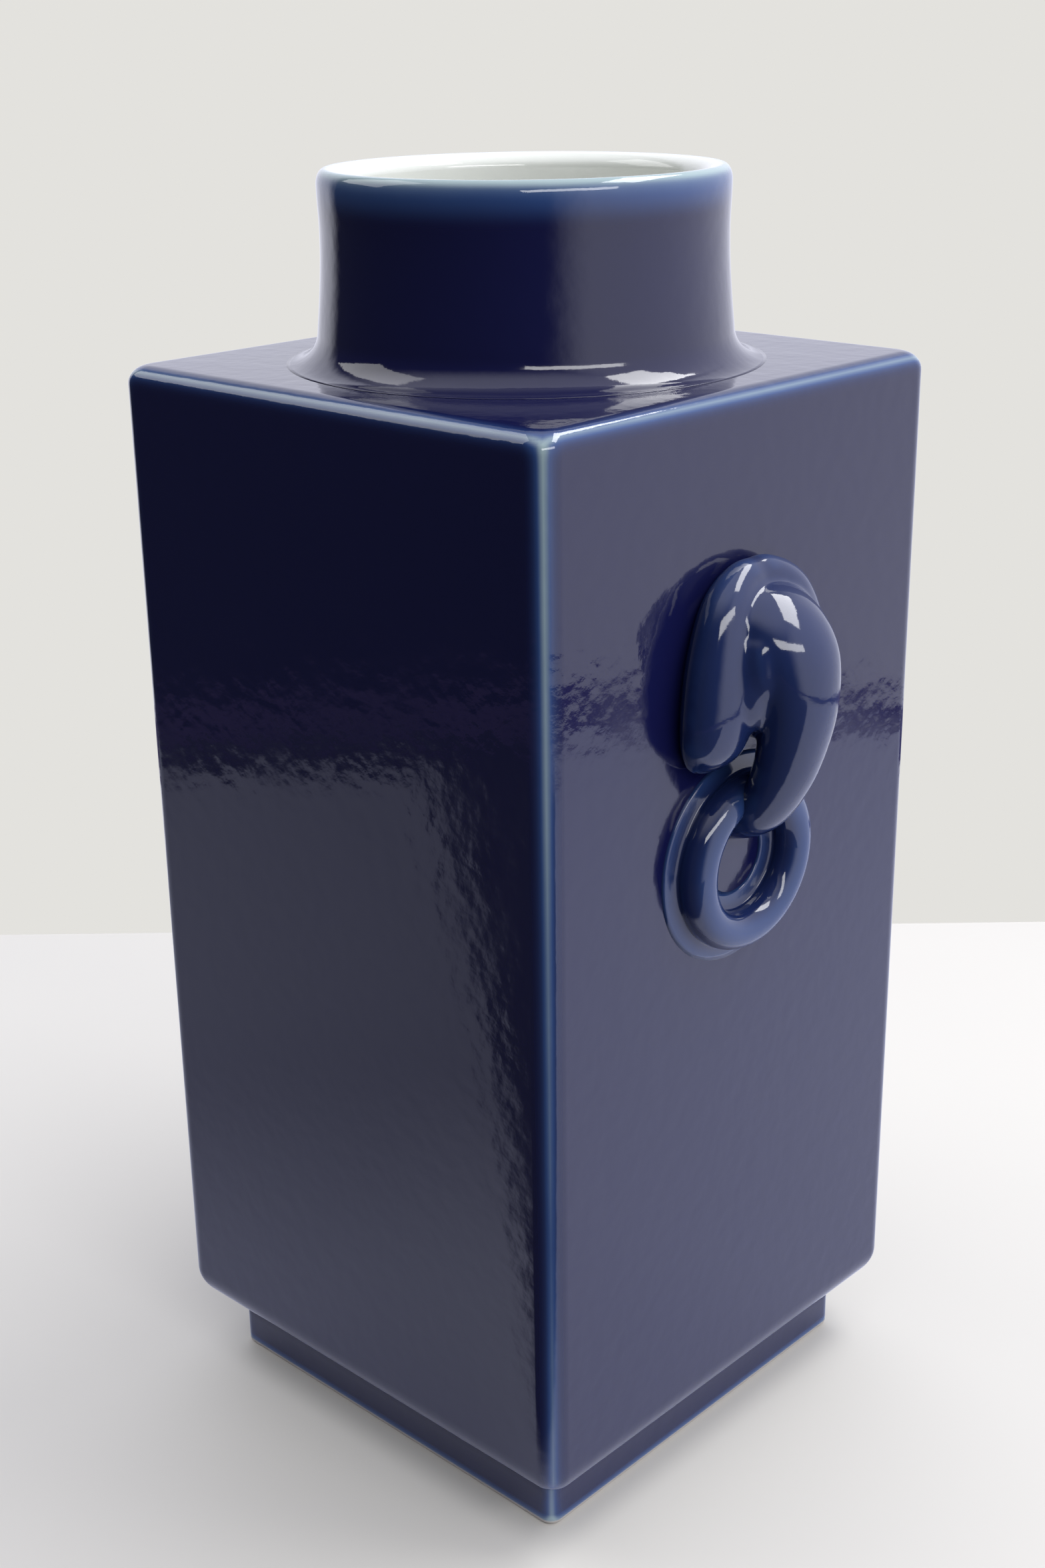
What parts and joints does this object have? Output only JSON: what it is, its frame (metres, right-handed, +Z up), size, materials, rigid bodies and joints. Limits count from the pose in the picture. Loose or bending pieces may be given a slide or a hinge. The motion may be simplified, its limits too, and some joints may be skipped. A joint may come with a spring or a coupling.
{
  "type": "square vase",
  "caption": "Square porcelain vase with a round rolled-rim neck, blue glaze and elephant-mask handles that hold fixed rings.",
  "frame": {"origin": "centre of the plane that the foot stands on", "axes": "+Z up through the neck, +X out through one handled wall, Y across the plain walls"},
  "size_m": [0.1714, 0.125, 0.29],
  "materials": {
    "blue_glaze": "deep cobalt glaze, glossy, pale along edges",
    "pale_glaze": "thin mid-blue glaze, white inside, glossy",
    "bare_body": "unglazed porcelain clay, matt"
  },
  "bodies": {
    "root": {"foot_strip_right": "blue_glaze", "foot_strip_back": "blue_glaze", "foot_strip_left": "blue_glaze", "foot_strip_front": "blue_glaze", "floor_slab": "blue_glaze", "wall_right": "blue_glaze", "wall_back": "blue_glaze", "wall_left": "blue_glaze", "wall_front": "blue_glaze", "seam_coil_1": "bare_body", "seam_coil_2": "bare_body", "seam_coil_3": "bare_body", "seam_coil_4": "bare_body", "shoulder_slab": "blue_glaze", "neck": "pale_glaze", "mask_right": "blue_glaze", "ear_right_1": "blue_glaze", "ear_right_2": "blue_glaze", "ring_right": "blue_glaze", "mask_left": "blue_glaze", "ear_left_1": "blue_glaze", "ear_left_2": "blue_glaze", "ring_left": "blue_glaze"}
  },
  "joints": []
}
